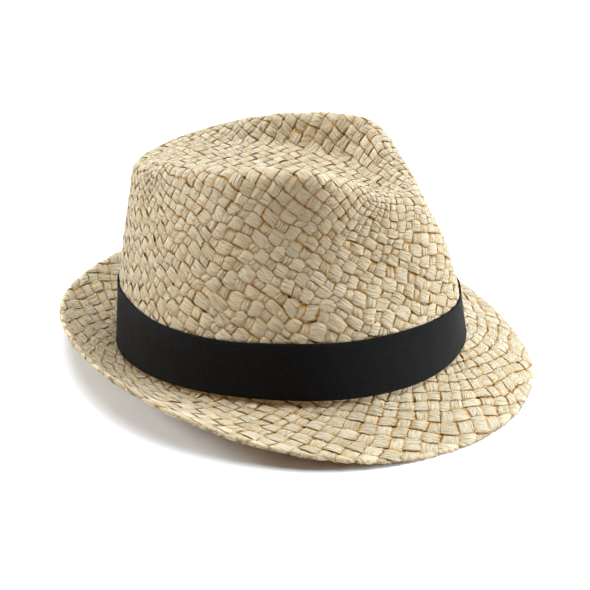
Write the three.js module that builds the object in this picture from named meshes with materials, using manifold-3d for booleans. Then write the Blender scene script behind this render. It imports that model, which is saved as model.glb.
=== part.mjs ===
// A short-brim trilby plaited from flat paper-straw strips, with a plain ribbon band.
// Millimetres, +Z up. The front of the hat faces -Y and the wearer's right is -X.
// The hat rests as it would by itself: on the front of its brim and on the back of its break,
// the fold where crown and brim meet. The origin is the middle of its footprint, on the surface.
import * as THREE from "three";
import { mergeVertices } from "three/addons/utils/BufferGeometryUtils.js";
import Module from "manifold-3d";

// Head oval, measured outside the crown at the break
const headLength = 199.6;
const headWidth = 175.6;
const headMiddle = 0.514; // share of the length that lies ahead of the widest place
const ovalPower = 2.2;

// Crown, measured from the level of the break
const crownHeight = 121;
const dentFloorHeight = 102;
const dentFloorRise = 0.1; // rise of the dent's floor for each millimetre towards the back
const dentFloorShare = 0.74; // share of the way out to the crest that the floor takes
const shoulderRadius = 15; // widest rounding between the top and the wall, at the back
const pinchDepth = 6.5; // how far each front pinch is pressed into the wall
const pinchSkew = 0.75; // below 1 the pinch is deepest above the middle of the wall
const bellyDepth = 6; // how far the wall stands out at bellyHeight, where the ribbon ends
const bellyHeight = 34;

// Brim
const brimWidth = 44.4;
const brimCurl = 1.6; // how late the brim's slope changes on its way out
const breakRadius = 2;
const hemWidth = 8;

// Thicknesses
const strawWall = 1.8;
const hemThickness = 2.6;
const edgeRound = 0.8; // how far the folded edge bulges past the brim

// Ribbon band
const bandHeight = 31;
const bandClear = 0.3; // from the top of the break's bend to the ribbon's lower edge
const bandThickness = 1;
const bandGap = 0.3;

// The straw's own weight presses the hat flat this far where it touches the surface
const restFlat = 0.4;

// Crest of the crown at each turn from the front, in degrees: reach is a share of the head
// oval's radius there, height of crownHeight, shoulder of shoulderRadius, pinch of pinchDepth
// and belly of bellyDepth.
const crest = [
  { turn: 0, reach: 0.716, height: 0.804, shoulder: 0.95, pinch: -0.66, belly: 0.99 },
  { turn: 12, reach: 0.644, height: 0.837, shoulder: 0.93, pinch: -0.4, belly: 0.97 },
  { turn: 26, reach: 0.582, height: 0.913, shoulder: 0.76, pinch: 0.38, belly: 0.72 },
  { turn: 45, reach: 0.579, height: 0.988, shoulder: 0.55, pinch: 0.99, belly: 0.35 },
  { turn: 70, reach: 0.531, height: 0.999, shoulder: 0.56, pinch: 0.57, belly: 0.61 },
  { turn: 100, reach: 0.523, height: 0.98, shoulder: 0.65, pinch: -0.086, belly: 0.92 },
  { turn: 140, reach: 0.569, height: 0.941, shoulder: 0.73, pinch: -0.32, belly: 0.34 },
  { turn: 180, reach: 0.767, height: 0.869, shoulder: 0.98, pinch: -0.082, belly: 0.66 },
];

// Brim at each turn: width is a share of brimWidth, and the slopes are in degrees above the
// level, at the break and at the edge.
const brim = [
  { turn: 0, width: 1, breakSlope: -27.2, edgeSlope: -28.3 },
  { turn: 35, width: 0.966, breakSlope: -26.6, edgeSlope: -24.3 },
  { turn: 70, width: 0.966, breakSlope: -7.3, edgeSlope: 5.7 },
  { turn: 105, width: 0.997, breakSlope: 16.7, edgeSlope: 37.8 },
  { turn: 140, width: 0.85, breakSlope: 27.4, edgeSlope: 58.8 },
  { turn: 180, width: 0.882, breakSlope: 21.4, edgeSlope: 55.9 },
];

// Rows of faces down each section, and columns round the hat
const columns = 64;
const floorRows = 3;
const riserRows = 4;
const shoulderRows = 5;
const wallRows = 6;
const bandRows = 6;
const breakRows = 3;
const brimRows = 5;
const hemRows = 2;
const slopeSteps = 8; // short steps that each row of the brim's curve is summed over
const hemStep = 0.8; // run of brim over which the hem's extra thickness starts

const rad = THREE.MathUtils.degToRad;
const lerp = THREE.MathUtils.lerp;

// A column of a table at any turn. The hat is the same on both sides, so the table is read
// as an even, closed curve: a Hermite spline with three-point tangents.
function around(table, column, turn) {
  const folded = Math.abs(((turn + 180) % 360) - 180);
  const last = table.length - 1;
  let k = 0;
  while (k < last - 1 && folded > table[k + 1].turn) k += 1;
  const step = table[k + 1].turn - table[k].turn;
  const tangent = (i) => {
    if (i === 0 || i === last) return 0;
    const before = table[i].turn - table[i - 1].turn;
    const after = table[i + 1].turn - table[i].turn;
    const slopeBefore = (table[i][column] - table[i - 1][column]) / before;
    const slopeAfter = (table[i + 1][column] - table[i][column]) / after;
    return (slopeBefore * after + slopeAfter * before) / (before + after);
  };
  const s = (folded - table[k].turn) / step;
  return (
    table[k][column] * (1 + 2 * s) * (1 - s) ** 2 +
    table[k + 1][column] * (3 - 2 * s) * s ** 2 +
    tangent(k) * step * s * (1 - s) ** 2 -
    tangent(k + 1) * step * (1 - s) * s ** 2
  );
}

// Radius of the head oval at a turn
function ovalRadius(turn) {
  const across = Math.abs(Math.sin(rad(turn))) / (headWidth / 2);
  const ahead = Math.cos(rad(turn)) > 0 ? headMiddle : 1 - headMiddle;
  const along = Math.abs(Math.cos(rad(turn))) / (headLength * ahead);
  return (across ** ovalPower + along ** ovalPower) ** (-1 / ovalPower);
}

// The crown's wall at a turn: an arc over the shoulder meets a straight line to the foot. The
// belly stands out from that line, so the wall behind the ribbon is steeper, and the brim leaves
// the foot through a bend that starts setBack up the wall.
function wall(turn) {
  const foot = ovalRadius(turn);
  const reach = around(crest, "reach", turn) * foot;
  const round = around(crest, "shoulder", turn) * shoulderRadius;
  const top = around(crest, "height", turn) * crownHeight;
  const centre = top - round;
  const toFoot = Math.atan2(-centre, foot - reach);
  const meet = toFoot + Math.acos(round / Math.hypot(foot - reach, centre));
  const out = reach + round * Math.cos(meet);
  const up = centre + round * Math.sin(meet);
  const belly = around(crest, "belly", turn) * bellyDepth;
  const waist = lerp(foot, out, bellyHeight / up) + belly;
  const slope = Math.atan2(-bellyHeight, foot - waist);
  const breakSlope = rad(around(brim, "breakSlope", turn));
  const setBack = breakRadius * Math.tan((breakSlope - slope) / 2);
  return {
    foot, reach, round, top, centre, meet, out, up, belly, waist, slope, breakSlope,
    setBack,
  };
}

const turns = Array.from({ length: columns }, (_, j) => (360 * j) / columns);
const bandFoot =
  bandClear +
  Math.max(...turns.map((turn) => {
    const w = wall(turn);
    return -w.setBack * Math.sin(w.slope);
  }));
const bandTop = bandFoot + bandHeight;

// One section of the outer surface at a turn, from the middle of the dent down the wall and
// out to the brim's edge. Each row is its distance from the middle, its height and the
// straw's thickness there. bandStart is the row of the ribbon's upper edge.
function section(turn) {
  const w = wall(turn);
  const pinch = around(crest, "pinch", turn) * pinchDepth;
  const rows = [];
  const add = (out, up, thick = strawWall) => rows.push({ out, up, thick });

  // Dent: a tilted floor, then a riser to the crest
  const floorAt = (out) =>
    dentFloorHeight - dentFloorRise * out * Math.cos(rad(turn));
  for (let i = 0; i < floorRows; i += 1) {
    const out = (w.reach * dentFloorShare * i) / floorRows;
    add(out, floorAt(out));
  }
  for (let i = 0; i < riserRows; i += 1) {
    const s = i / riserRows;
    const out = w.reach * lerp(dentFloorShare, 1, s);
    add(out, lerp(floorAt(out), w.top, s * s * (3 - 2 * s)));
  }

  // Shoulder: an arc that leaves the crest level and meets the wall's line
  for (let i = 0; i < shoulderRows; i += 1) {
    const angle = lerp(Math.PI / 2, w.meet, i / shoulderRows);
    add(
      w.reach + w.round * Math.cos(angle),
      w.centre + w.round * Math.sin(angle),
    );
  }

  // Wall: pressed in or out above the ribbon, and straight behind it
  const wallOut = (up) => {
    if (up <= bellyHeight) return lerp(w.foot, w.waist, up / bellyHeight);
    const s = (w.up - up) / (w.up - bellyHeight);
    return lerp(w.foot, w.out, up / w.up) + w.belly * Math.sin((Math.PI / 2) * s) ** 2;
  };
  for (let i = 0; i < wallRows; i += 1) {
    const s = i / wallRows;
    const up = lerp(w.up, bandTop, s);
    const press = pinch * Math.sin(Math.PI * s ** pinchSkew) ** 2;
    add(wallOut(up) - press, up);
  }
  const bandStart = rows.length;
  for (let i = 0; i <= bandRows; i += 1) {
    const up = lerp(bandTop, bandFoot, i / bandRows);
    add(wallOut(up), up);
  }

  // Break: an arc that turns the wall's line into the brim's
  const startOut = w.foot - w.setBack * Math.cos(w.slope);
  const startUp = -w.setBack * Math.sin(w.slope);
  let out = startOut;
  let up = startUp;
  for (let i = 0; i <= breakRows; i += 1) {
    const slope = lerp(w.slope, w.breakSlope, i / breakRows);
    out = startOut + breakRadius * (Math.sin(slope) - Math.sin(w.slope));
    up = startUp - breakRadius * (Math.cos(slope) - Math.cos(w.slope));
    add(out, up);
  }

  // Brim: its slope changes from the break to the edge, and its last stretch is the hem
  const run = around(brim, "width", turn) * brimWidth - w.setBack;
  const edgeSlope = rad(around(brim, "edgeSlope", turn));
  let gone = 0;
  const advance = (to, thick) => {
    const length = (to - gone) / slopeSteps;
    for (let j = 0; j < slopeSteps; j += 1) {
      const s = (gone + length * (j + 0.5)) / run;
      const slope = lerp(w.breakSlope, edgeSlope, s ** brimCurl);
      out += length * Math.cos(slope);
      up += length * Math.sin(slope);
    }
    gone = to;
    add(out, up, thick);
  };
  const hemStart = run - hemWidth;
  for (let i = 1; i <= brimRows; i += 1) {
    advance(((hemStart - hemStep) * i) / brimRows);
  }
  for (let i = 0; i <= hemRows; i += 1) {
    advance(lerp(hemStart, run, i / hemRows), hemThickness);
  }
  return { rows, bandStart };
}

// The outer surface as a grid of points: one row for each row of a section, one column for
// each turn.
const sections = turns.map(section);
const thickness = sections[0].rows.map((row) => row.thick);
const bandStart = sections[0].bandStart;
const outer = thickness.map((_, i) =>
  turns.map((turn, j) => {
    const { out, up } = sections[j].rows[i];
    return new THREE.Vector3(
      -out * Math.sin(rad(turn)),
      -out * Math.cos(rad(turn)),
      up,
    );
  }),
);

// Outward normal of the outer surface, from the neighbouring points between two rows
function normalAt(i, j, first, last) {
  const row = Math.max(i, 1);
  const above = outer[Math.max(row - 1, first)][j];
  const below = outer[Math.min(row + 1, last)][j];
  const left = outer[row][(j + columns - 1) % columns];
  const right = outer[row][(j + 1) % columns];
  return new THREE.Vector3()
    .subVectors(right, left)
    .cross(new THREE.Vector3().subVectors(below, above))
    .normalize();
}

// The outer surface moved out along its normals, between two rows
function offset(distances, first, last) {
  return distances.map((distance, k) =>
    turns.map((_, j) =>
      outer[first + k][j]
        .clone()
        .addScaledVector(normalAt(first + k, j, first, last), distance),
    ),
  );
}

const lastRow = outer.length - 1;
const inner = offset(thickness.map((thick) => -thick), 0, lastRow);
const dentMiddle = inner[0].reduce((sum, p) => sum.add(p), new THREE.Vector3());
dentMiddle.divideScalar(columns).setX(0);
inner[0] = inner[0].map(() => dentMiddle);

// The folded edge: one row between the two surfaces, bulging past the brim
const edge = turns.map((_, j) =>
  new THREE.Vector3()
    .subVectors(outer[lastRow][j], outer[lastRow - 1][j])
    .setLength(edgeRound)
    .add(outer[lastRow][j].clone().lerp(inner[lastRow][j], 0.5)),
);
const hood = [...outer, edge, ...inner.slice().reverse()];

const ribbonRows = Array.from({ length: bandRows + 1 }, () => bandGap);
const bandEnd = bandStart + bandRows;
const ribbonInside = offset(ribbonRows, bandStart, bandEnd);
const ribbonOutside = offset(
  ribbonRows.map((gap) => gap + bandThickness),
  bandStart,
  bandEnd,
);
const ribbon = [...ribbonOutside, ...ribbonInside.reverse()];
ribbon.push(ribbon[0]);

// How the hat rests: its side view is turned until the low points in front of the middle and
// behind it, the ends of one edge of the view's lower hull, are level.
function restAngle(points) {
  const low = [];
  const turnsUp = (a, b, c) =>
    (b.y - a.y) * (c.z - a.z) - (b.z - a.z) * (c.y - a.y) > 0;
  for (const p of points.slice().sort((a, b) => a.y - b.y || a.z - b.z)) {
    while (low.length > 1 && !turnsUp(low.at(-2), low.at(-1), p)) low.pop();
    low.push(p);
  }
  const behind = low.findIndex((p) => p.y > 0);
  const [a, b] = [low[behind - 1], low[behind]];
  return Math.atan2(b.z - a.z, b.y - a.y);
}

const tilt = new THREE.Matrix4().makeRotationX(-restAngle(hood.flat()));
const box = new THREE.Box3().setFromPoints(
  hood.flat().map((p) => p.clone().applyMatrix4(tilt)),
);
const seat = new THREE.Matrix4()
  .makeTranslation(0, -(box.min.y + box.max.y) / 2, -box.min.z - restFlat)
  .multiply(tilt);

// A closed mesh from rows of points: each row joins the next, and a row whose points are all
// one point is a pole.
function skin(rows) {
  const positions = [];
  const triangle = (...corners) => {
    for (const p of corners) positions.push(p.x, p.y, p.z);
  };
  const isPole = (row) => row.every((p) => p.distanceTo(row[0]) < 1e-9);
  for (let i = 0; i + 1 < rows.length; i += 1) {
    const [upper, lower] = [rows[i], rows[i + 1]];
    for (let j = 0; j < columns; j += 1) {
      const k = (j + 1) % columns;
      if (!isPole(upper)) triangle(upper[j], upper[k], lower[k]);
      if (!isPole(lower)) triangle(upper[j], lower[k], lower[j]);
    }
  }
  const geometry = new THREE.BufferGeometry();
  geometry.setAttribute(
    "position",
    new THREE.Float32BufferAttribute(positions, 3),
  );
  return mergeVertices(geometry.applyMatrix4(seat));
}

const wasm = await Module();
wasm.setup();

// A closed geometry as a solid for cutting
function solid(geometry) {
  const bare = geometry.clone();
  bare.deleteAttribute("normal");
  bare.deleteAttribute("uv");
  const merged = mergeVertices(bare);
  return new wasm.Manifold(
    new wasm.Mesh({
      numProp: 3,
      vertProperties: merged.attributes.position.array,
      triVerts: new Uint32Array(merged.index.array),
    }),
  );
}

// The straw hood with the two places where it rests made flat
function cutFlat(geometry) {
  const size = 2 * (headLength + headWidth);
  const surface = new THREE.BoxGeometry(size, size, size);
  surface.translate(0, 0, -size / 2);
  const mesh = solid(geometry).subtract(solid(surface)).getMesh();
  const cut = new THREE.BufferGeometry();
  cut.setAttribute(
    "position",
    new THREE.BufferAttribute(mesh.vertProperties, mesh.numProp),
  );
  cut.setIndex(new THREE.BufferAttribute(mesh.triVerts, 1));
  return cut;
}

// One named piece, smooth shaded, in its own finish
function piece(name, geometry, finish) {
  geometry.computeVertexNormals();
  const mesh = new THREE.Mesh(geometry, new THREE.MeshStandardMaterial(finish));
  mesh.name = name;
  return mesh;
}

const trilby = new THREE.Group();
trilby.add(
  piece("straw_body", cutFlat(skin(hood)), {
    color: "#e0d2b2",
    roughness: 0.85,
    metalness: 0,
  }),
  piece("hat_band", skin(ribbon), {
    color: "#19191b",
    roughness: 0.75,
    metalness: 0,
  }),
);

export default trilby;
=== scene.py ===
import math
import bpy
import mathutils
import numpy as np
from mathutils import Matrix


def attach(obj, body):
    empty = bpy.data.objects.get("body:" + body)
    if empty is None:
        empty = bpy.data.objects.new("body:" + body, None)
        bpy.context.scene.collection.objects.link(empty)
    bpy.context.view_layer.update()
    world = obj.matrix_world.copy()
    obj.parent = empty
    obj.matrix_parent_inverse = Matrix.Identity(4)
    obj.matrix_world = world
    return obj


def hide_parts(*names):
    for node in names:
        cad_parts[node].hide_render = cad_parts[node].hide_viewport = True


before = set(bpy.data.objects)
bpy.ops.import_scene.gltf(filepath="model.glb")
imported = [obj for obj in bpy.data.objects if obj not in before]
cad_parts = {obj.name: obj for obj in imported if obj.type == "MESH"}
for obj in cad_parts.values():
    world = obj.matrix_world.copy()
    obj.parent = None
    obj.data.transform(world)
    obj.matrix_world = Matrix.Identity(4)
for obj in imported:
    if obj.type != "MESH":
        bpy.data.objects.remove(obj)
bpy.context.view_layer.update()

# Straw hood
# One piece of plaiting forms crown and brim. Flat cream paper strips run from edge to edge,
# over one and under one, and the woven hood is blocked to shape: teardrop dent, front pinches,
# and a brim whose last stretch is turned under and sewn.

# Sizes in millimetres and angles in degrees, as in the part's source
HEAD_LENGTH, HEAD_WIDTH, HEAD_MIDDLE, OVAL_POWER = 199.6, 175.6, 0.514, 2.2
CROWN_HEIGHT, DENT_FLOOR, DENT_RISE, DENT_SHARE = 121.0, 102.0, 0.1, 0.74
SHOULDER, PINCH, PINCH_SKEW, BELLY, BELLY_HEIGHT = 15.0, 6.5, 0.75, 6.0, 34.0
BRIM_WIDTH, BRIM_CURL, BREAK_RADIUS, HEM_WIDTH = 44.4, 1.6, 2.0, 8.0
BAND_HEIGHT, BAND_CLEAR = 31.0, 0.3
STRAW_DEPTH = 0.75     # from the outer skin to the middle of the plaiting
HEM_DROP = 1.35        # from the brim's plaiting to the layer turned under it
REST_PITCH, SEAT_BACK, SEAT_UP = 5.5587, 5.5313, 9.9255   # how the hat lies on the floor

# Crest of the crown at each turn from the front: reach is a share of the head oval's radius
# there, height of CROWN_HEIGHT, shoulder of SHOULDER, pinch of PINCH and belly of BELLY.
CREST = {
    "turn": (0, 12, 26, 45, 70, 100, 140, 180),
    "reach": (0.716, 0.644, 0.582, 0.579, 0.531, 0.523, 0.569, 0.767),
    "height": (0.804, 0.837, 0.913, 0.988, 0.999, 0.98, 0.941, 0.869),
    "shoulder": (0.95, 0.93, 0.76, 0.55, 0.56, 0.65, 0.73, 0.98),
    "pinch": (-0.66, -0.4, 0.38, 0.99, 0.57, -0.086, -0.32, -0.082),
    "belly": (0.99, 0.97, 0.72, 0.35, 0.61, 0.92, 0.34, 0.66),
}
# Brim at each turn: width is a share of BRIM_WIDTH, and the slopes at break and edge are above
# the level.
BRIM = {
    "turn": (0, 35, 70, 105, 140, 180),
    "width": (1, 0.966, 0.966, 0.997, 0.85, 0.882),
    "break": (-27.2, -26.6, -7.3, 16.7, 27.4, 21.4),
    "edge": (-28.3, -24.3, 5.7, 37.8, 58.8, 55.9),
}
SECTION_STEP = 5.625   # step of the turns at which the part's source has its sections
BRIM_STEPS = 240       # short steps that the brim's curve is summed over
rng = np.random.default_rng(11)


def around(table, column, turn):
    """A table's column at any turn from the front, read as an even, closed, smooth curve."""
    at, value = np.array(table["turn"], float), np.array(table[column], float)
    step = np.diff(at)
    slope = np.diff(value) / step
    tangent = np.zeros(len(at))
    tangent[1:-1] = (slope[:-1] * step[1:] + slope[1:] * step[:-1]) / (step[:-1] + step[1:])
    folded = np.abs((turn + 180) % 360 - 180)
    k = np.clip(np.searchsorted(at, folded, side="right") - 1, 0, len(at) - 2)
    s = (folded - at[k]) / step[k]
    return (value[k] * (1 + 2 * s) * (1 - s) ** 2 + value[k + 1] * (3 - 2 * s) * s ** 2
            + tangent[k] * step[k] * s * (1 - s) ** 2
            - tangent[k + 1] * step[k] * (1 - s) * s ** 2)


def mix(a, b, s):
    return a + (b - a) * s


def smooth(s):
    s = np.clip(s, 0, 1)
    return s * s * (3 - 2 * s)


def wall(turn):
    """The crown's wall at each turn: shoulder arc, straight wall and the bend into the brim."""
    across = np.abs(np.sin(np.radians(turn))) / (HEAD_WIDTH / 2)
    ahead = np.where(np.cos(np.radians(turn)) > 0, HEAD_MIDDLE, 1 - HEAD_MIDDLE)
    along = np.abs(np.cos(np.radians(turn))) / (HEAD_LENGTH * ahead)
    foot = (across ** OVAL_POWER + along ** OVAL_POWER) ** (-1 / OVAL_POWER)
    reach = around(CREST, "reach", turn) * foot
    rounding = around(CREST, "shoulder", turn) * SHOULDER
    top = around(CREST, "height", turn) * CROWN_HEIGHT
    centre = top - rounding
    meet = np.arctan2(-centre, foot - reach) + np.arccos(rounding / np.hypot(foot - reach, centre))
    out = reach + rounding * np.cos(meet)
    up = centre + rounding * np.sin(meet)
    belly = around(CREST, "belly", turn) * BELLY
    waist = mix(foot, out, BELLY_HEIGHT / up) + belly
    slope = np.arctan2(-BELLY_HEIGHT, foot - waist)
    into_brim = np.radians(around(BRIM, "break", turn))
    set_back = BREAK_RADIUS * np.tan((into_brim - slope) / 2)
    return dict(foot=foot, reach=reach, rounding=rounding, top=top, centre=centre, meet=meet,
                out=out, up=up, belly=belly, waist=waist, slope=slope, into_brim=into_brim,
                set_back=set_back,
                start_out=foot - set_back * np.cos(slope), start_up=-set_back * np.sin(slope))


def wall_out(w, up):
    """The wall's distance from the middle at a height: it stands out most at the belly."""
    above = (w["up"] - up) / (w["up"] - BELLY_HEIGHT)
    high = mix(w["foot"], w["out"], up / w["up"]) + w["belly"] * np.sin(np.pi / 2 * above) ** 2
    return np.where(up <= BELLY_HEIGHT, mix(w["foot"], w["waist"], up / BELLY_HEIGHT), high)


every_turn = wall(np.arange(0, 360, SECTION_STEP))
BAND_FOOT = BAND_CLEAR + every_turn["start_up"].max()
BAND_TOP = BAND_FOOT + BAND_HEIGHT
SLIT = 50.0            # half length of the line in the dent that the sections start from


def dent_height(turn, out):
    """The dent's height at a place: a tilted floor and a smooth riser to the crest."""
    w = wall(turn)
    floor = DENT_FLOOR - DENT_RISE * out * np.cos(np.radians(turn))
    return mix(floor, w["top"], smooth((out / w["reach"] - DENT_SHARE) / (1 - DENT_SHARE)))


def half_hood(stations, columns):
    """Points of the hood's right half on its outer skin. Stations 0 to 6 are the dent, shoulder,
    wall, the wall behind the ribbon, the break and the brim, each a whole number long."""
    spread = np.linspace(0, np.pi, columns)
    front, side = CREST["reach"][0] * HEAD_LENGTH / 2, CREST["reach"][4] * HEAD_WIDTH / 2
    turn = np.degrees(np.arctan2(side * np.sin(spread), front * np.cos(spread)))
    w = wall(turn)
    pinch = around(CREST, "pinch", turn) * PINCH
    run = around(BRIM, "width", turn) * BRIM_WIDTH - w["set_back"]
    edge = np.radians(around(BRIM, "edge", turn))
    gone = np.linspace(0, 1, BRIM_STEPS + 1)[:, None]
    slope = mix(w["into_brim"], edge, ((gone[1:] + gone[:-1]) / 2) ** BRIM_CURL)
    zero = np.zeros((1, columns))
    brim_out = np.vstack([zero, np.cumsum(np.cos(slope), 0)]) * run / BRIM_STEPS
    brim_up = np.vstack([zero, np.cumsum(np.sin(slope), 0)]) * run / BRIM_STEPS
    rows = []
    for station in stations:
        part = min(int(station), 5)
        s = station - part
        direction = turn
        if part == 0:
            aside = s * w["reach"] * np.sin(np.radians(turn))
            ahead = mix(SLIT * np.cos(spread), w["reach"] * np.cos(np.radians(turn)), s)
            direction, out = np.degrees(np.arctan2(aside, ahead)), np.hypot(aside, ahead)
            up = dent_height(direction, out)
        elif part == 1:
            angle = mix(np.pi / 2, w["meet"], s)
            out = w["reach"] + w["rounding"] * np.cos(angle)
            up = w["centre"] + w["rounding"] * np.sin(angle)
        elif part == 2:
            up = mix(w["up"], BAND_TOP, s)
            out = wall_out(w, up) - pinch * np.sin(np.pi * s ** PINCH_SKEW) ** 2
        elif part == 3:
            up = mix(BAND_TOP, w["start_up"], s)
            out = wall_out(w, up)
        else:
            angle = mix(w["slope"], w["into_brim"], s if part == 4 else 1.0)
            out = w["start_out"] + BREAK_RADIUS * (np.sin(angle) - np.sin(w["slope"]))
            up = w["start_up"] - BREAK_RADIUS * (np.cos(angle) - np.cos(w["slope"]))
            if part == 5:
                k = min(int(s * BRIM_STEPS), BRIM_STEPS - 1)
                out = out + mix(brim_out[k], brim_out[k + 1], s * BRIM_STEPS - k)
                up = up + mix(brim_up[k], brim_up[k + 1], s * BRIM_STEPS - k)
        rows.append(np.stack([-out * np.sin(np.radians(direction)),
                              -out * np.cos(np.radians(direction)), up], -1))
    return np.array(rows), run


def normals(points):
    """Outward normals of a half's grid, which is mirrored at its first and last columns."""
    n = np.cross(np.gradient(points, axis=0), np.gradient(points, axis=1))
    n[0] = n[1]
    n[:, (0, -1), 0] = 0
    return -n / np.maximum(np.linalg.norm(n, axis=-1, keepdims=True), 1e-12)


def with_hem(counts, columns, fold_rows, under_rows):
    """The middle of the plaiting, with its normals: the skin moved in, then round the fold at
    the brim's edge (stations 6 to 6.2) and back under the brim (6.2 to 7). Counts are the rows
    in each part of the hood."""
    stations = [part + np.arange(count) / count for part, count in enumerate(counts)]
    stations = np.concatenate(stations + [[float(len(counts))]])
    points, run = half_hood(stations, columns)
    n = normals(points)
    middle = points - STRAW_DEPTH * n
    ahead = points[-1] - points[-2]
    ahead = ahead / np.linalg.norm(ahead, axis=-1, keepdims=True)
    radius = HEM_DROP / 2
    arc = [np.cos(a) * n[-1] + np.sin(a) * ahead
           for a in np.linspace(0, np.pi, fold_rows + 1)[1:]]
    centre = middle[-1] - radius * n[-1]
    first = np.searchsorted(stations, 5.0)
    brim_rows = len(stations) - 1 - first
    column = np.arange(columns)
    under, under_n = [], []
    for back in np.linspace(0, HEM_WIDTH, under_rows + 1)[1:]:
        row = first + (1 - back / run) * brim_rows
        k = np.floor(row).astype(int)
        s = (row - k)[:, None]
        n_here = mix(n[k, column], n[k + 1, column], s)
        under.append(mix(middle[k, column], middle[k + 1, column], s) - HEM_DROP * n_here)
        under_n.append(-n_here)
    stations = np.concatenate([stations, 6 + 0.2 * np.arange(1, fold_rows + 1) / fold_rows,
                               6.2 + 0.8 * np.arange(1, under_rows + 1) / under_rows])
    points = np.concatenate([middle, [centre + radius * a for a in arc], under])
    return stations, points, np.concatenate([n, arc, under_n])


def even_flow(points, fixed, value):
    """Steady flow over a grid of points: the smoothest field that holds the fixed values. Each
    edge of the grid's triangles conducts by the cotangents of the angles that face it, and the
    rows are eliminated one after another."""
    rows, columns = fixed.shape
    own = np.zeros((rows, columns, columns))
    down = np.zeros((rows, columns, columns))

    def corner(a, b, c):
        u, w = points[b] - points[a], points[c] - points[a]
        twice_area = np.linalg.norm(np.cross(u, w), axis=-1)
        return 0.5 * (u * w).sum(-1) / np.maximum(twice_area, 1e-9)

    i, j = np.meshgrid(np.arange(rows - 1), np.arange(columns - 1), indexing="ij")
    below, beside = i + 1, j + 1
    a, b, c, d = (i, j), (i, beside), (below, j), (below, beside)
    for p, q, r in ((a, c, d), (a, d, b)):
        for one, two, three in ((p, q, r), (q, r, p), (r, p, q)):
            weight = corner(one, two, three)
            for end in (two, three):
                np.add.at(own, (end[0], end[1], end[1]), weight)
            if two[0] is three[0]:
                np.add.at(own, (two[0], two[1], three[1]), -weight)
                np.add.at(own, (two[0], three[1], two[1]), -weight)
            else:
                upper, lower = (two, three) if two[0] is i else (three, two)
                np.add.at(down, (upper[0], upper[1], lower[1]), -weight)
    up = np.swapaxes(down, 1, 2).copy()
    conductance, coupling = own.copy(), down.copy()
    r, k = np.nonzero(fixed)
    own[r, k, :] = 0
    own[r, k, k] = 1
    down[r, k, :] = 0
    lower_fixed = fixed[1:]
    up[:-1][np.nonzero(lower_fixed)[0], np.nonzero(lower_fixed)[1], :] = 0
    known = np.where(fixed, value, 0.0)
    for row in range(1, rows):
        share = up[row - 1] @ np.linalg.inv(own[row - 1])
        own[row] -= share @ down[row - 1]
        known[row] -= share @ known[row - 1]
    field = np.zeros((rows, columns))
    field[-1] = np.linalg.solve(own[-1], known[-1])
    for row in range(rows - 2, -1, -1):
        field[row] = np.linalg.solve(own[row], known[row] - down[row] @ field[row + 1])
    energy = sum(field[row] @ conductance[row] @ field[row] for row in range(rows))
    energy += 2 * sum(field[row] @ coupling[row] @ field[row + 1] for row in range(rows - 1))
    return field, energy


# The plaiting keeps its strips square to each other, so it follows an even flow over the hood:
# depth runs from the dent to the hem, and bearing round the hat from the front.
coarse_stations, coarse, _ = with_hem((18, 6, 20, 9, 3, 14), 81, 3, 5)
shape = coarse.shape[:2]
held = np.zeros(shape, bool)
held[0] = held[-1] = True
depth, energy = even_flow(coarse, held, (np.arange(shape[0]) > 0)[:, None])
DEEPEST = np.pi / energy
depth = depth * DEEPEST
held = np.zeros(shape, bool)
held[:, 0] = held[:, -1] = True
bearing, _ = even_flow(coarse, held, np.broadcast_to(np.linspace(0, np.pi, shape[1]), shape))

# The same flow read the other way round: the station, and the place across the half, at each
# depth and bearing.
levels = np.linspace(0, DEEPEST, 331)
bearings = np.linspace(0, np.pi, 241)
spread = np.linspace(0, np.pi, shape[1])
station_at = np.zeros((len(levels), len(bearings)))
spread_at = np.zeros((len(levels), len(bearings)))
for k, level in enumerate(levels):
    row = [np.interp(level, depth[:, j], coarse_stations) for j in range(shape[1])]
    angle = [np.interp(level, depth[:, j], bearing[:, j]) for j in range(shape[1])]
    station_at[k] = np.interp(bearings, angle, row)
    spread_at[k] = np.interp(bearings, angle, spread)

fine_stations, fine, fine_normals = with_hem((90, 30, 120, 60, 12, 90), 361, 8, 30)
# The plaiting is closer on the brim than on the crown. The change is under the ribbon.
CLOSER = 1.32
station_aside = station_at[:, len(bearings) // 2]
band_depth = np.interp(3.5, station_aside, levels)
edge_depth = band_depth + CLOSER * (np.interp(6.0, station_aside, levels) - band_depth)
last_depth = band_depth + CLOSER * (DEEPEST - band_depth)


def bilinear(grid, x, y):
    """A grid read at fractional rows x and columns y, both kept just inside the last one."""
    x = np.clip(x, 0, grid.shape[0] - 1.000001)
    y = np.clip(y, 0, grid.shape[1] - 1.000001)
    i, j = x.astype(int), y.astype(int)
    u, v = x - i, y - j
    if grid.ndim == 3:
        u, v = u[..., None], v[..., None]
    return mix(mix(grid[i, j], grid[i, j + 1], v), mix(grid[i + 1, j], grid[i + 1, j + 1], v), u)


# Hand plaiting is never even: each wave pushes the strips a little aside, both families alike,
# but not where the hood closes on the dent's line or ends in the hem.
WAVE_COUNT, WAVE_PUSH = 14, 0.0048
CALM_TOP, CALM_HEM = 0.6, 0.15     # depths over which the waves grow and fade
waves = [(rng.integers(5, 19), rng.normal(0, 12), rng.uniform(0, 6.28),
          rng.normal(0, WAVE_PUSH), rng.normal(0, WAVE_PUSH)) for _ in range(WAVE_COUNT)]


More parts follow.
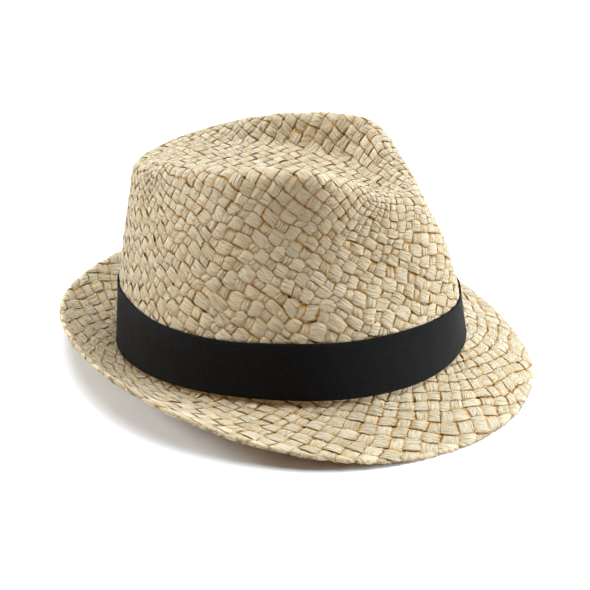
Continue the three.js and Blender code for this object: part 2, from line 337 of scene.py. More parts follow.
def on_hood(place):
    """Point and normal of the hood, seated on the floor, for a place in the flow's flat map."""
    flow = np.arccosh(place / SLIT)
    level, side = flow.real, -flow.imag
    loose = smooth(level / CALM_TOP) * smooth((last_depth - level) / CALM_HEM)
    push = [np.sin(k * side + q * level + start) for k, q, start, _, _ in waves]
    level = level + loose * sum(p * wave[3] for p, wave in zip(push, waves))
    side = side + loose * sum(p * wave[4] for p, wave in zip(push, waves))
    side = (side + np.pi) % (2 * np.pi) - np.pi
    level = np.where(level > band_depth, band_depth + (level - band_depth) / CLOSER, level)
    x = level / DEEPEST * (len(levels) - 1)
    y = np.abs(side) / np.pi * (len(bearings) - 1)
    station = bilinear(station_at, x, y)
    column = bilinear(spread_at, x, y) / np.pi * (fine.shape[1] - 1)
    row = np.interp(station, fine_stations, np.arange(len(fine_stations)))
    point, n = bilinear(fine, row, column), bilinear(fine_normals, row, column)
    left = np.where(side < 0, -1.0, 1.0)
    point[..., 0] *= left
    n[..., 0] *= left
    return seated(point), turned(n / np.linalg.norm(n, axis=-1, keepdims=True))


def turned(vectors):
    """The hat's pitch as it rests."""
    c, s = math.cos(math.radians(REST_PITCH)), math.sin(math.radians(REST_PITCH))
    x, y, z = np.moveaxis(vectors, -1, 0)
    return np.stack([x, y * c + z * s, -y * s + z * c], -1)


def seated(points):
    """Points of the upright hat, moved to where they are as it rests."""
    return turned(points) + np.array([0, SEAT_BACK, SEAT_UP])


# The strips' lattice: 72 steep strips and 40 slanting ones cross any ring round the hat, in the
# flat map. Over the crown's top the lattice closes like the lid of a box, with a corner of three
# strips at each of four places on the crest, and each corner lies on a gap between strips.
STEEP, SLANTING = 72, 40
RING = complex(STEEP, SLANTING)
PULL = 1j * RING / (2 * np.pi)


def stretch(place, turns, corners):
    """How fast the lattice runs at a place, with the angles to the corners kept continuous."""
    gaps = place[None] - corners[:, None]
    angle = np.angle(gaps)
    angle = turns + (angle - turns + np.pi) % (2 * np.pi) - np.pi
    size = np.prod(np.abs(gaps), 0) ** -0.25
    return PULL * size * np.exp(-0.25j * angle.sum(0)), angle


def lattice_along(path, turns, corners, start):
    """The lattice's coordinate at the end of a path of places, summed from its start."""
    speed = np.zeros(len(path), complex)
    for k in range(len(path)):
        value, turns = stretch(path[k:k + 1], turns, corners)
        speed[k] = value[0]
    return start + np.cumsum((speed[1:] + speed[:-1]) / 2 * np.diff(path))[-1]


INWARD_STEPS = 1500    # steps of the path from the hem to a corner, ever shorter towards it
ring_bearings = np.linspace(0, 2 * np.pi, 2401)
ring = SLIT * np.cosh(last_depth - 1j * ring_bearings)


def lattice_round(corners):
    """The lattice round the hem, counted from the first corner, and the corners' coordinates."""
    along, angles = np.zeros(len(ring), complex), np.zeros((4, len(ring)))
    angles[:] = np.unwrap(np.angle(ring[None] - corners[:, None]), axis=1)
    size = np.prod(np.abs(ring[None] - corners[:, None]), 0) ** -0.25
    speed = PULL * size * np.exp(-0.25j * angles.sum(0))
    along[1:] = np.cumsum((speed[1:] + speed[:-1]) / 2 * np.diff(ring))
    reached = []
    inwards = 1 - (1 - np.linspace(0, 1, INWARD_STEPS)) ** 2
    for corner in corners[:2]:
        k = np.argmin(np.abs(np.angle(ring / corner)))
        path = ring[k] + (corner - ring[k]) * inwards
        path[-1] = path[-2]
        reached.append(lattice_along(path, angles[:, k:k + 1], corners, along[k]))
    return along - reached[0], angles, reached[1] - reached[0]


def corner_places(first, second):
    return np.array([first, second, -first, -second])


# The corners lie over the crest, two ahead and two behind. The first is moved until a whole
# number of strips lies between it and the second.
first_corner, second_corner = 64 - 38j, -64 - 38j
NUDGE = 0.01
between = lattice_round(corner_places(first_corner, second_corner))[2]
whole = complex(round(between.real), round(between.imag))
for _ in range(6):
    here = lattice_round(corner_places(first_corner, second_corner))[2]
    by_x = lattice_round(corner_places(first_corner + NUDGE, second_corner))[2] - here
    by_y = lattice_round(corner_places(first_corner + NUDGE * 1j, second_corner))[2] - here
    jacobian = np.array([[by_x.real, by_y.real], [by_x.imag, by_y.imag]]) / NUDGE
    miss = whole - here
    move = np.linalg.solve(jacobian, [miss.real, miss.imag])
    first_corner += complex(*move)
corners = corner_places(first_corner, second_corner)
round_hem, hem_angles, _ = lattice_round(corners)

STEPS = 6              # rings of each strip for one crossing
MOST_RINGS = 2200      # more than the longest strip has


def start_places(counted, number):
    """Bearings on the ring where the centre lines of one family cross it."""
    first = math.ceil(counted[0] - 0.5) + 0.5
    index = first + np.arange(number)
    return index, np.interp(index, counted, ring_bearings)


def trace():
    """Every strip's centre line, from the hem across the hood to the hem again. Each strip is
    met at both its ends and kept once. It is steep or slanting at each end by itself."""
    index_a, at_a = start_places(round_hem.real, STEEP)
    index_b, at_b = start_places(round_hem.imag, SLANTING)
    at = np.concatenate([at_a, at_b])
    steep = np.arange(len(at)) < STEEP
    phase = np.where(steep, np.interp(at, ring_bearings, round_hem.imag),
                     np.interp(at, ring_bearings, round_hem.real))
    parity = np.where(np.floor(np.concatenate([index_a, index_b])) % 2 == 0, 1.0, -1.0)
    parity = np.where(steep, -parity, parity)
    step = np.where(steep, -1j, 1 + 0j) / STEPS
    way = np.where(steep, -1.0, 1.0) / STEPS
    place = SLIT * np.cosh(last_depth - 1j * at)
    turns = np.array([np.interp(at, ring_bearings, hem_angles[k]) for k in range(4)])
    line, speeds = [place], [stretch(place, turns, corners)[0]]
    depths = [np.full(len(at), last_depth)]
    rings = np.full(len(at), MOST_RINGS)
    for count in range(1, MOST_RINGS):
        k1, turns = stretch(place, turns, corners)
        k2, _ = stretch(place + step / k1 / 2, turns, corners)
        k3, _ = stretch(place + step / k2 / 2, turns, corners)
        k4, _ = stretch(place + step / k3, turns, corners)
        place = place + step / 6 * (1 / k1 + 2 / k2 + 2 / k3 + 1 / k4)
        level = np.arccosh(place / SLIT).real
        rings = np.where((level > last_depth) & (rings == MOST_RINGS), count, rings)
        line.append(place)
        speeds.append(stretch(place, turns, corners)[0])
        depths.append(level)
        if (rings < MOST_RINGS).all():
            break
    line, speeds, depths = np.array(line), np.array(speeds), np.array(depths)
    lattice_angle = np.unwrap(np.angle(np.gradient(round_hem) / np.gradient(ring)))
    strips = []
    for m in range(len(at)):
        n = rings[m]
        end = -np.arccosh(line[n, m] / SLIT).imag % (2 * np.pi)
        outer = np.interp(end, ring_bearings, lattice_angle)
        leaving = np.angle(np.exp(1j * outer) * (line[n, m] - line[n - 1, m]))
        ends_steep = abs(math.sin(leaving)) > 0.7     # 1 along a steep strip, 0 along a slanting
        same = np.nonzero(steep == ends_steep)[0]
        gap = np.abs((at[same] - end + np.pi) % (2 * np.pi) - np.pi)
        if same[np.argmin(gap)] > m:
            strips.append(dict(line=line[:n, m], speed=speeds[:n, m], depth=depths[:n, m],
                               step=step[m], phase=phase[m] + way[m] * np.arange(n),
                               parity=parity[m], steep=(bool(steep[m]), bool(ends_steep))))
    return strips


# Each strip's section is a flat closed ring of twelve points. Across is its place from one edge
# to the other, face is 1 outside, -1 inside and 0 on the edge.
ACROSS = np.array([-1, -0.72, -0.36, 0, 0.36, 0.72, 1, 0.72, 0.36, 0, -0.36, -0.72])
FACE = np.array([0, 1, 1, 1, 1, 1, 0, -1, -1, -1, -1, -1])
RING_POINTS = len(ACROSS)
STEEP_HALF, SLANTING_HALF, TOP_HALF = 0.43, 0.59, 0.53   # half widths, in crossings
SLANTING_OVER = 0.36   # how much longer a slanting strip stays over than under, on the wall
EVEN_ON_BRIM = 0.7     # how much of the two families' difference is gone on the brim
FLAT_ON_BRIM = 0.25    # how much less the strips rise and fall on the brim
# How uneven hand plaiting is: shares of a strip's width, of one crossing and of its lift
WIDTH_VARIES, EDGE_VARIES, PATH_VARIES = 0.09, 0.03, 0.05
LIFT_VARIES, TILT_VARIES, TINT_VARIES = 0.14, 0.17, 0.13
corner_depth = np.arccosh(first_corner / SLIT).real


def wander(count, size, pace=1.0):
    """A smooth random curve with a new value at each crossing, or pace times as often."""
    knots = rng.normal(0, size, int(count * pace / STEPS) + 4)
    x = np.arange(count) * pace / STEPS
    k = x.astype(int)
    return mix(knots[k], knots[k + 1], smooth(x - k))


def strip_rings(strip):
    """The rings of points along one strip, with all that its relief and its colour need."""
    count = len(strip["line"])
    lowest = int(np.argmin(strip["depth"]))
    half = [STEEP_HALF if steep else SLANTING_HALF for steep in strip["steep"]]
    family = np.where(np.arange(count) < lowest, half[0], half[1])
    on_wall = smooth((strip["depth"] - corner_depth) / 0.3)
    on_brim = smooth((strip["depth"] - band_depth) / 0.1)
    on_wall = on_wall * (1 - EVEN_ON_BRIM * on_brim)
    weave = strip["parity"] * np.sin(np.pi * strip["phase"])
    over = [-SLANTING_OVER if steep else SLANTING_OVER for steep in strip["steep"]]
    weave = weave + on_wall * np.where(np.arange(count) < lowest, over[0], over[1])
    plump = 0.88 + 0.12 * np.abs(weave) + 0.12 * (strip["depth"] > edge_depth - 0.02)
    half = mix(TOP_HALF, family, on_wall) * plump * (1 + wander(count, WIDTH_VARIES))
    half = half * rng.uniform(0.95, 1.04)
    centre = wander(count, PATH_VARIES) + rng.normal(0, 0.015)
    aside = 1j * strip["step"] / abs(strip["step"])
    ragged = np.array([wander(count, EDGE_VARIES, 3) for _ in ACROSS]).T
    ragged = np.where(FACE == 0, 1, 0.4) * ragged
    offset = aside * (centre[:, None] + half[:, None] * ACROSS + ragged * ACROSS)
    speed = strip["speed"][:, None]
    bend = -0.25 * (1 / (strip["line"][:, None] - corners)).sum(1)[:, None]
    place = strip["line"][:, None] + offset / speed - bend / (2 * speed ** 2) * offset ** 2
    point, n = on_hood(place)
    lift = (1 + wander(count, LIFT_VARIES)) * (1 - FLAT_ON_BRIM * on_brim)
    tilt = wander(count, TILT_VARIES)
    fold = np.array([wander(count, 1.0, 1.5) for _ in ACROSS]).T
    run = np.concatenate([[0], np.cumsum(np.linalg.norm(np.diff(point[:, 3], axis=0), axis=-1))])
    wide = np.linalg.norm(point[:, 6] - point[:, 0], axis=-1)
    # How near a place is to the fold at the brim's edge, where the painted shade is made weaker.
    worn = smooth((strip["depth"] - edge_depth + 0.05) / 0.04)[:, None]
    cell = np.floor(strip["phase"]).astype(int)
    tints = rng.normal(0, 1, cell.max() - cell.min() + 1)[cell - cell.min()]
    every = (count, RING_POINTS)
    return dict(
        point=point, normal=n, fold=fold,
        weave=np.broadcast_to((weave * lift)[:, None], every),
        across=np.broadcast_to(ACROSS, every),
        face=np.broadcast_to(FACE, every),
        worn=np.broadcast_to(worn, every),
        tilt=np.broadcast_to(tilt[:, None], every),
        tint=np.broadcast_to(0.5 + TINT_VARIES * rng.normal() + 0.1 * tints[:, None], every),
        u=np.broadcast_to(run[:, None], every) + rng.uniform(0, 500),
        v=wide[:, None] / 2 * ACROSS + 40 * rng.integers(0, 40),
    )


def quads_of(count):
    """Faces of one strip: rings joined in order, each end closed by five faces."""
    ring_start = np.arange(count - 1)[:, None] * RING_POINTS
    k = np.arange(RING_POINTS)
    after = (k + 1) % RING_POINTS
    side = np.stack([ring_start + k, ring_start + after, ring_start + RING_POINTS + after,
                     ring_start + RING_POINTS + k], -1).reshape(-1, 4)
    k = np.arange(RING_POINTS // 2 - 1)
    cap = np.stack([k, (-k - 1) % RING_POINTS, (-k - 2) % RING_POINTS, k + 1], -1)
    return np.concatenate([side, cap, cap[:, ::-1] + RING_POINTS * (count - 1)])


def mesh_of(name, points, quads):
    """A mesh of quads from arrays, points in millimetres."""
    mesh = bpy.data.meshes.new(name)
    mesh.vertices.add(len(points))
    mesh.vertices.foreach_set("co", (np.asarray(points) / 1000).astype(np.float32).ravel())
    mesh.loops.add(quads.size)
    mesh.loops.foreach_set("vertex_index", quads.astype(np.int32).ravel())
    mesh.polygons.add(len(quads))
    mesh.polygons.foreach_set("loop_start", np.arange(0, quads.size, 4, dtype=np.int32))
    mesh.update(calc_edges=True)
    return mesh


def give(mesh, name, kind, values):
    """A value for each point, which the relief or the material reads by name."""
    layer = mesh.attributes.new(name, kind, "POINT")
    key = {"FLOAT": "value", "FLOAT_VECTOR": "vector", "FLOAT_COLOR": "color"}[kind]
    layer.data.foreach_set(key, np.asarray(values, np.float32).ravel())


def lay_out(mesh, quads, u, v):
    """The UV map holds millimetres along and across."""
    layer = mesh.uv_layers.new(name="millimetres")
    uv = np.stack([u, v], -1).astype(np.float32)
    layer.data.foreach_set("uv", uv[quads.ravel()].ravel())


def add(tree, kind, values=None, **settings):
    """Adds a node, sets its settings, and sets or links its inputs. A node that is given as a
    value stands for its first output."""
    node = tree.nodes.new(kind)
    for name, value in settings.items():
        setattr(node, name, value)
    for socket, value in (values or {}).items():
        if isinstance(value, bpy.types.Node):
            value = value.outputs[0]
        if isinstance(value, bpy.types.NodeSocket):
            tree.links.new(value, node.inputs[socket])
        else:
            node.inputs[socket].default_value = value
    return node


def colour(code):
    """sRGB hex to linear."""
    parts = [int(code[i:i + 2], 16) / 255 for i in (1, 3, 5)]
    return [p / 12.92 if p <= 0.04045 else ((p + 0.055) / 1.055) ** 2.4 for p in parts] + [1.0]


def new_material(name):
    material = bpy.data.materials.new(name)
    material.use_nodes = True
    material.node_tree.nodes.clear()
    return material, material.node_tree


# Cream paper straw is ribbon of paper, crumpled and pressed flat: matt, creased along the strip,
# with a little sheen. Golden brown is painted along its edges, partly its own colour and partly
# painted shade of the gaps, and painted shade is golden brown where it dives under the next strip.
# Each pattern has its features per millimetre along and across the strip.
PLEATS = (0.11, 0.75, 1)    # flattened folds, 9 mm long and 1.3 mm wide
CREASES = (0.16, 1.7, 1)    # fine creases, 6 mm long and 0.6 mm wide
CRUMPLES = (0.7, 1.1, 1)    # dents of 1.4 by 0.9 mm
PATCHES = (0.13, 0.06, 1)   # stretches of 8 by 17 mm in which the edges are browner or paler
# Heights in metres. They are more than the real ones, so that the creases show from afar.
PLEAT_HEIGHT, CREASE_HEIGHT, CRUMPLE_HEIGHT = 0.0013, 0.0013, 0.0005
UNEVEN_SHADE_OUTLINES = 0.16         # how far the dents shift the outlines of the painted shade and of the brown edges


def straw_material():
    """Paper straw. Its colour follows the tone attribute: how far a place is shown or dives, which
    sets painted shade, its tint, and how near it is to the strip's edge, which sets brown edges
    that are partly painted shade."""
    material, tree = new_material("cream_paper_straw")
    tone = add(tree, "ShaderNodeAttribute", attribute_name="tone")
    parts = add(tree, "ShaderNodeSeparateColor", {"Color": tone.outputs["Color"]})
    shown, tint, side = parts.outputs[0], parts.outputs[1], parts.outputs[2]
    uv = add(tree, "ShaderNodeUVMap", uv_map="millimetres")
    patterns = []
    for scale, kind, values in (
            (PLEATS, "ShaderNodeTexVoronoi", {"Randomness": 1.0}),
            (CREASES, "ShaderNodeTexNoise", {"Detail": 3.0, "Roughness": 0.6}),
            (CRUMPLES, "ShaderNodeTexNoise", {"Detail": 4.0, "Roughness": 0.6}),
            (PATCHES, "ShaderNodeTexNoise", {"Detail": 1.0})):
        mapped = add(tree, "ShaderNodeMapping", {"Vector": uv, "Scale": scale})
        patterns.append(add(tree, kind, {"Vector": mapped, "Scale": 1.0, **values}))
    pleat, crease, crumple, patch = patterns
    centred = add(tree, "ShaderNodeMath", {0: crumple, 1: 0.5}, operation="SUBTRACT")
    uneven = add(tree, "ShaderNodeMath", {0: centred, 1: UNEVEN_SHADE_OUTLINES}, operation="MULTIPLY")
    shown = add(tree, "ShaderNodeMath", {0: shown, 1: uneven}, operation="ADD")
    edge = add(tree, "ShaderNodeMath", {0: side, 1: uneven}, operation="ADD")
    browner = add(tree, "ShaderNodeMapRange", {"Value": patch, "From Min": 0.38, "From Max": 0.62,
                                               "To Min": 0.55, "To Max": 0.95},
                  interpolation_type="SMOOTHSTEP")
    straw = add(tree, "ShaderNodeMix", {0: tint, 6: colour("#B29D78"), 7: colour("#CDBA99")},
                data_type="RGBA").outputs[2]

    # Each mark, a streak or painted shade, grows from nothing to its full strength as a value goes
    # from one end to another.
    for value, none, full, strength, stain_or_shade in (
            (crease, 0.5, 0.75, 0.3, "#9A8254"),       # dull streaks along the creases
            (shown, 0.74, 0.52, 0.65, "#BC8A34"),      # painted shade, golden, where the strip starts to dive
            (edge, 0.87, 1.01, browner, "#A87018"),    # brown edges in patches: partly the paper's own, partly painted shade of the gaps
            (shown, 0.56, 0.48, 1.0, "#B07616")):      # painted shade, brown, where it is under the next strip
        amount = add(tree, "ShaderNodeMapRange", {"Value": value, "From Min": none,
                                                  "From Max": full, "To Max": strength},
                     interpolation_type="SMOOTHSTEP")
        straw = add(tree, "ShaderNodeMix", {0: amount, 6: straw, 7: colour(stain_or_shade)},
                    data_type="RGBA").outputs[2]
    surface = {}
    for height, strength, distance in ((pleat, 1.0, PLEAT_HEIGHT), (crease, 1.0, CREASE_HEIGHT),
                                       (crumple, 0.6, CRUMPLE_HEIGHT)):
        surface = {"Normal": add(tree, "ShaderNodeBump", {"Height": height, "Strength": strength,
                                                          "Distance": distance, **surface})}
    shader = add(tree, "ShaderNodeBsdfPrincipled",
                 {"Base Color": straw, "Roughness": 0.6, "Specular IOR Level": 0.06,
                  "Sheen Weight": 0.14, "Sheen Roughness": 0.5, **surface})
    add(tree, "ShaderNodeOutputMaterial", {"Surface": shader})
    return material


STRIP_SIZES = {"Lift": 0.0006, "Rounding": 0.0003, "Thickness": 0.0004, "Fold": 0.00016,
               "Crumple": 0.0005, "Crumple size": 0.0032, "Seed": 5}   # metres, but for the seed


def relief_tree(material):
    """Gives flat strips their form: over and under, rounded across, a little tilted, with a
    slight crumple, and closed to the paper's thickness."""
    tree = bpy.data.node_groups.new("strip_relief", "GeometryNodeTree")
    face = tree.interface
    face.new_socket("Strips", in_out="INPUT", socket_type="NodeSocketGeometry")
    for name, value in STRIP_SIZES.items():
        kind = "NodeSocketInt" if name == "Seed" else "NodeSocketFloat"
        face.new_socket(name, in_out="INPUT", socket_type=kind).default_value = value
    face.new_socket("Strips", in_out="OUTPUT", socket_type="NodeSocketGeometry")
    given = add(tree, "NodeGroupInput").outputs
    known = {name: given[name] for name in STRIP_SIZES}
    for name in ("weave", "across", "face", "tilt", "fold"):
        known[name] = add(tree, "GeometryNodeInputNamedAttribute", {"Name": name},
                          data_type="FLOAT")
    normal = add(tree, "GeometryNodeInputNamedAttribute", {"Name": "surface_normal"},
                 data_type="FLOAT_VECTOR")
    place = add(tree, "GeometryNodeInputPosition")
    frequency = add(tree, "ShaderNodeMath", {0: 1.0, 1: given["Crumple size"]},
                    operation="DIVIDE")
    known["noise"] = add(tree, "ShaderNodeTexNoise",
                         {"Vector": place, "W": given["Seed"], "Scale": frequency, "Detail": 1.0},
                         noise_dimensions="4D")

    # Each line names one step of the relief. How far a strip stands over or under comes first,
    # then its arc across, its lean, its paper's thickness, its dents and folds, and their sum.
    for name, operation, *terms in (
            ("quick", "MULTIPLY", "weave", 1.5),
            ("over", "TANH", "quick"),
            ("rise", "MULTIPLY", "over", "Lift"),
            ("showing", "MULTIPLY", "over", "face"),
            ("clearly", "MULTIPLY", "showing", 3.0),
            ("outside", "MAXIMUM", "clearly", 0.0),
            ("seen", "MINIMUM", "outside", 1.0),
            ("square", "MULTIPLY", "across", "across"),
            ("arc", "SUBTRACT", 0.55, "square"),
            ("arched", "MULTIPLY", "over", "arc"),
            ("mostly", "MULTIPLY", "seen", 0.7),
            ("plump", "ADD", "mostly", 0.3),
            ("height", "MULTIPLY", "plump", "Rounding"),
            ("rounded", "MULTIPLY", "arched", "height"),
            ("twist", "MULTIPLY", "across", "tilt"),
            ("leaning", "MULTIPLY", "twist", "Lift"),
            ("paper", "MULTIPLY", "face", "Thickness"),
            ("half_paper", "MULTIPLY", "paper", 0.5),
            ("centred", "SUBTRACT", "noise", 0.5),
            ("dents", "MULTIPLY", "centred", "Crumple"),
            ("fold_height", "MULTIPLY", "seen", "Fold"),
            ("folds", "MULTIPLY", "fold", "fold_height"),
            ("creased", "ADD", "dents", "folds"),
            ("curved", "ADD", "rise", "rounded"),
            ("flat", "ADD", "leaning", "half_paper"),
            ("formed", "ADD", "curved", "flat"),
            ("relief", "ADD", "formed", "creased")):
        known[name] = add(tree, "ShaderNodeMath",
                          {k: known.get(term, term) for k, term in enumerate(terms)},
                          operation=operation)
    move = add(tree, "ShaderNodeVectorMath", {0: normal, "Scale": known["relief"]},
               operation="SCALE")
    moved = add(tree, "GeometryNodeSetPosition", {"Geometry": given["Strips"], "Offset": move})
    shaded = add(tree, "GeometryNodeSetShadeSmooth", {"Geometry": moved})
    real = add(tree, "GeometryNodeRealizeInstances", {"Geometry": shaded})
    dressed = add(tree, "GeometryNodeSetMaterial", {"Geometry": real, "Material": material})
    add(tree, "NodeGroupOutput", {0: dressed})
    return tree


def through_tree(name, mesh, tree, sizes, material):
    """Runs a mesh through a node tree and keeps the plain result as a new piece."""
    blank = bpy.data.objects.new(name, mesh)
    bpy.context.scene.collection.objects.link(blank)
    modifier = blank.modifiers.new("shape", "NODES")
    modifier.node_group = tree
    sockets = {i.name: i.identifier for i in tree.interface.items_tree if i.in_out == "INPUT"}
    for key, value in sizes.items():
        modifier[sockets[key]] = value
    bpy.context.view_layer.update()
    made = bpy.data.meshes.new_from_object(blank.evaluated_get(
        bpy.context.evaluated_depsgraph_get()))
    blank.modifiers.clear()
    blank.data = made
    made.name = name
    made.materials.clear()
    made.materials.append(material)
    return blank


LEAST_HEIGHT = 0.00005


def off_the_floor(obj):
    """The straw is pressed flat where the hat rests, so nothing goes below the surface."""
    points = np.empty(len(obj.data.vertices) * 3, np.float32)
    obj.data.vertices.foreach_get("co", points)
    points[2::3] = np.maximum(points[2::3], LEAST_HEIGHT)
    obj.data.vertices.foreach_set("co", points)
    obj.data.update()


# The strips are shared out evenly, longest first, over five pieces of like size.
straw = straw_material()
relief = relief_tree(straw)
made_strips = [strip_rings(strip) for strip in trace()]
made_strips.sort(key=lambda strip: -len(strip["point"]))
bundles = {"strips_" + name: [] for name in ("first", "second", "third", "fourth", "fifth")}
for strip in made_strips:
    min(bundles.values(), key=lambda bundle: sum(len(s["point"]) for s in bundle)).append(strip)
for name, bundle in bundles.items():
    gathered = {key: np.concatenate([s[key].reshape(-1, *s[key].shape[2:]) for s in bundle])
                for key in bundle[0]}
    counts = [len(s["point"]) for s in bundle]
    starts = np.concatenate([[0], np.cumsum(counts)[:-1]]) * RING_POINTS
    quads = np.concatenate([quads_of(n) + start for n, start in zip(counts, starts)])
    mesh = mesh_of(name, gathered["point"], quads)
    for key in ("weave", "across", "face", "tilt", "fold"):
        give(mesh, key, "FLOAT", gathered[key])
    give(mesh, "surface_normal", "FLOAT_VECTOR", gathered["normal"])

    # Round the brim's edge the painted shade where a strip dives stays light, and the brown edges,
    # partly painted shade, are narrower.
    shown = gathered["weave"] * np.where(gathered["face"] == 0, 1, gathered["face"])
    shown = np.maximum(np.clip(shown, -1, 1), gathered["worn"] * 0.25)
    side = np.abs(gathered["across"]) * (1 - 0.12 * gathered["worn"])
    give(mesh, "tone", "FLOAT_COLOR",
         np.stack([0.5 + 0.5 * shown, np.clip(gathered["tint"], 0, 1), side,
                   np.ones(len(shown))], -1))
    lay_out(mesh, quads, gathered["u"], gathered["v"])
    piece = through_tree(name, mesh, relief, STRIP_SIZES, straw)
    off_the_floor(piece)
    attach(piece, "root")
    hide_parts("straw_body")

# Ribbon band
# A plain black ribbon 31 mm wide is wrapped round the foot of the crown and its ends are joined.
# It is modelled as a closed loop a millimetre thick, the air behind it included, on the plaiting.
RIBBON_GAP, RIBBON_THICKNESS = 0.3, 1.0
RIBBON_DIP, DIP_ENDS = 2.0, 80     # how much lower it lies in front, and the turn where that ends
UPPER_WAVES, LOWER_WAVES, SURFACE_WAVES = 0.18, 0.12, 0.02    # how uneven its edges and face are
RIBBON_COLUMNS, RIBBON_ROWS = 360, 20
turn = np.linspace(0, 360, RIBBON_COLUMNS, endpoint=False)
w = wall(turn)
down = np.linspace(0, 1, RIBBON_ROWS + 1)


def wave(turn, counts, size):
    """A gentle uneven line round the hat."""
    return sum(rng.normal(0, size) * np.sin(np.radians(turn) * n + rng.uniform(0, 6.3))
               for n in counts)


# In front the brim bends less, so the ribbon lies a little lower there.
dip = RIBBON_DIP * smooth(1 - np.abs((turn + 180) % 360 - 180) / DIP_ENDS)
upper = BAND_TOP - dip + wave(turn, (2, 3, 5, 9), UPPER_WAVES)
lower = BAND_FOOT - dip + 0.1 + np.abs(wave(turn, (2, 3, 7), LOWER_WAVES))
up = mix(upper[None], lower[None], down[:, None])
out = wall_out(w, up)
skin = np.stack([-out * np.sin(np.radians(turn)), -out * np.cos(np.radians(turn)), up], -1)
along_ribbon = np.roll(skin, -1, 1) - np.roll(skin, 1, 1)
n = np.cross(np.gradient(skin, axis=0), along_ribbon)
n = n / np.linalg.norm(n, axis=-1, keepdims=True)
n = n * np.sign((n[..., :2] * skin[..., :2]).sum())     # outwards
bumps = sum(rng.normal(0, SURFACE_WAVES) * np.sin(np.radians(turn)[None] * k
                                                  + down[:, None] * q + rng.uniform(0, 6.3))
            for k, q in ((7, 2), (13, 5), (22, 3), (31, 9), (41, 4), (57, 7)))
outside = skin + n * (RIBBON_GAP + RIBBON_THICKNESS + bumps[..., None])
inside = skin + n * (RIBBON_GAP + bumps[..., None] * 0.3)
loop = np.concatenate([outside, inside[::-1]])
rows = len(loop)
i, j = np.meshgrid(np.arange(rows), np.arange(RIBBON_COLUMNS), indexing="ij")
below, beside = (i + 1) % rows, (j + 1) % RIBBON_COLUMNS
quads = np.stack([i * RIBBON_COLUMNS + j, below * RIBBON_COLUMNS + j,
                  below * RIBBON_COLUMNS + beside, i * RIBBON_COLUMNS + beside], -1)
quads = quads.reshape(-1, 4)
ribbon_mesh = mesh_of("ribbon_band", seated(loop).reshape(-1, 3), quads)

# The UV map is cut where the loop starts, so each face has its own corners' millimetres.
spacing = np.linalg.norm(np.roll(skin, -1, 1) - skin, axis=-1).mean(0)
lengths = np.concatenate([[0], np.cumsum(spacing)])
u = np.stack([lengths[j], lengths[j], lengths[j + 1], lengths[j + 1]], -1)
v_row = np.concatenate([down, down[::-1]]) * BAND_HEIGHT
v = np.stack([v_row[i], v_row[below], v_row[below], v_row[i]], -1)
layer = ribbon_mesh.uv_layers.new(name="millimetres")
layer.data.foreach_set("uv", np.stack([u, v], -1).astype(np.float32).ravel())
for polygon in ribbon_mesh.polygons:
    polygon.use_smooth = True

# Black cotton ribbon is closely woven: nearly black, matt, with a faint warm sheen and slanting
# ribs. The real threads are too fine to show, so both patterns are drawn coarser.
RIB_SCALE, RIB_SLANT = 0.45, 28       # a rib every 0.7 mm, and its slant in degrees
THREADS = (1.3, 1.3, 1)               # slubs of 0.8 mm
RIB_HEIGHT, THREAD_HEIGHT = 0.0003, 0.0007
ribbon_material, tree = new_material("black_woven_ribbon")
uv = add(tree, "ShaderNodeUVMap", uv_map="millimetres")
slant = add(tree, "ShaderNodeMapping",
            {"Vector": uv, "Rotation": (0, 0, math.radians(RIB_SLANT))})
ribs = add(tree, "ShaderNodeTexWave", {"Vector": slant, "Scale": RIB_SCALE, "Distortion": 1.2,
                                       "Detail": 2.0, "Detail Scale": 3.0},
           wave_type="BANDS", bands_direction="Y")
mapped = add(tree, "ShaderNodeMapping", {"Vector": uv, "Scale": THREADS})
thread = add(tree, "ShaderNodeTexNoise",
             {"Vector": mapped, "Scale": 1.0, "Detail": 3.0, "Roughness": 0.7})
fuzz = add(tree, "ShaderNodeMapRange", {"Value": thread, "From Min": 0.35, "From Max": 0.68},
           interpolation_type="SMOOTHSTEP")
cloth = add(tree, "ShaderNodeMix", {0: fuzz, 6: colour("#020202"), 7: colour("#151311")},
            data_type="RGBA").outputs[2]
bump = add(tree, "ShaderNodeBump",
           {"Height": ribs.outputs["Fac"], "Strength": 0.5, "Distance": RIB_HEIGHT})
bump = add(tree, "ShaderNodeBump",
           {"Height": thread, "Strength": 1.0, "Distance": THREAD_HEIGHT, "Normal": bump})
shader = add(tree, "ShaderNodeBsdfPrincipled",
             {"Base Color": cloth, "Roughness": 0.7, "Specular IOR Level": 0.07,
              "Sheen Weight": 0.06, "Sheen Roughness": 0.3, "Sheen Tint": (1.0, 0.87, 0.76, 1.0),
              "Normal": bump})
add(tree, "ShaderNodeOutputMaterial", {"Surface": shader})
ribbon_mesh.materials.append(ribbon_material)
ribbon = bpy.data.objects.new("ribbon_band", ribbon_mesh)
bpy.context.scene.collection.objects.link(ribbon)
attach(ribbon, "root")
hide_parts("hat_band")

# Floor
# A seamless studio surface of matt white board, very slightly warm. It takes the hat's soft
# shadow and isn't part of the object.
FLOOR_SIZE = 6.0
bpy.ops.mesh.primitive_plane_add(size=FLOOR_SIZE, location=(0, 0, 0))
floor = bpy.context.object
floor.name = "studio_floor"
white, tree = new_material("matt_white_surface")
shader = add(tree, "ShaderNodeBsdfPrincipled",
             {"Base Color": colour("#EFEBE5"), "Roughness": 0.9, "Specular IOR Level": 0.1})
add(tree, "ShaderNodeOutputMaterial", {"Surface": shader})
floor.data.materials.append(white)

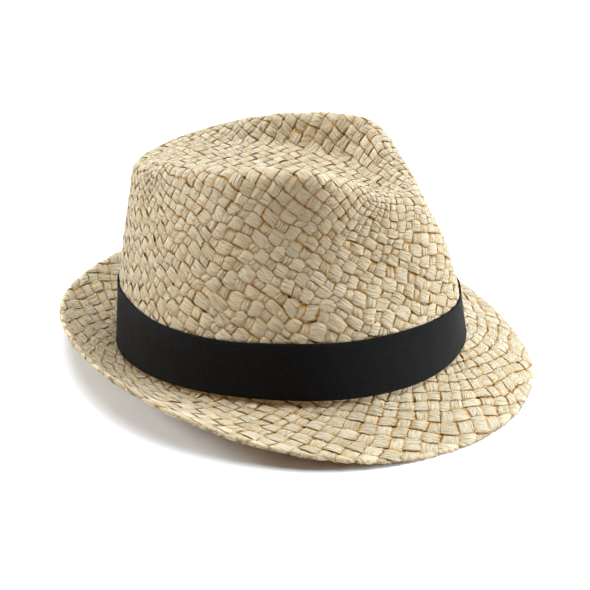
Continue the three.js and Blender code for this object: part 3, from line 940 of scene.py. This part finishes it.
# Camera and studio light
# A long lens from the wearer's right and a little above. Cool softboxes stand above, behind and
# on both sides, with a weak warm one in front, so the side that faces the camera is least lit.
AZIMUTH, ELEVATION, ROLL = -68.956, 26.224, 3.019
DISTANCE, LENS = 1.16489, 125.623
AIM = (-0.0087799, -0.0018295, 0.0408044)
a, e, r = (math.radians(v) for v in (AZIMUTH, ELEVATION, ROLL))
back = np.array([math.sin(a) * math.cos(e), -math.cos(a) * math.cos(e), math.sin(e)])
right = np.array([math.cos(a), math.sin(a), 0.0])
upward = np.cross(back, right)
right, upward = (right * math.cos(r) + upward * math.sin(r),
                 upward * math.cos(r) - right * math.sin(r))
camera_data = bpy.data.cameras.new("camera")
camera_data.lens, camera_data.sensor_width = LENS, 36.0
camera_data.clip_end = 20.0
camera = bpy.data.objects.new("camera", camera_data)
pose = mathutils.Matrix((right.tolist(), upward.tolist(), back.tolist())).transposed().to_4x4()
pose.translation = mathutils.Vector(AIM) + mathutils.Vector(back) * DISTANCE
camera.matrix_world = pose
bpy.context.scene.collection.objects.link(camera)
bpy.context.scene.camera = camera


def soft_light(name, azimuth, elevation, distance, size, power, tint):
    """A square softbox aimed at the hat. Angles in degrees, azimuth counted as the camera's is,
    distance and size in metres, power in watts."""
    a, e = math.radians(azimuth), math.radians(elevation)
    data = bpy.data.lights.new(name, "AREA")
    data.shape, data.size, data.energy, data.color = "SQUARE", size, power, tint
    away = mathutils.Vector((math.sin(a) * math.cos(e), -math.cos(a) * math.cos(e), math.sin(e)))
    light = bpy.data.objects.new(name, data)
    light.location = away * distance
    light.rotation_euler = away.to_track_quat("Z", "Y").to_euler()
    bpy.context.scene.collection.objects.link(light)


soft_light("key", AZIMUTH + 140, 56, 1.6, 1.2, 20, (0.58, 0.76, 1.0))
soft_light("overhead", AZIMUTH + 180, 84, 1.6, 1.5, 55, (0.82, 0.9, 1.0))
soft_light("left_side", AZIMUTH - 100, 22, 1.4, 0.4, 23, (0.82, 0.9, 1.0))
soft_light("right_side", AZIMUTH + 90, 9, 1.4, 0.3, 33, (0.78, 0.88, 1.0))
soft_light("front_fill", AZIMUTH + 5, 20, 1.6, 1.0, 2.3, (1.0, 0.48, 0.08))
ROOM_LIGHT = 0.05
world = bpy.data.worlds.new("studio_air")
world.use_nodes = True
background = world.node_tree.nodes["Background"]
background.inputs["Color"].default_value = (1, 1, 1, 1)
background.inputs["Strength"].default_value = ROOM_LIGHT
bpy.context.scene.world = world
bpy.context.scene.view_settings.view_transform = "Standard"
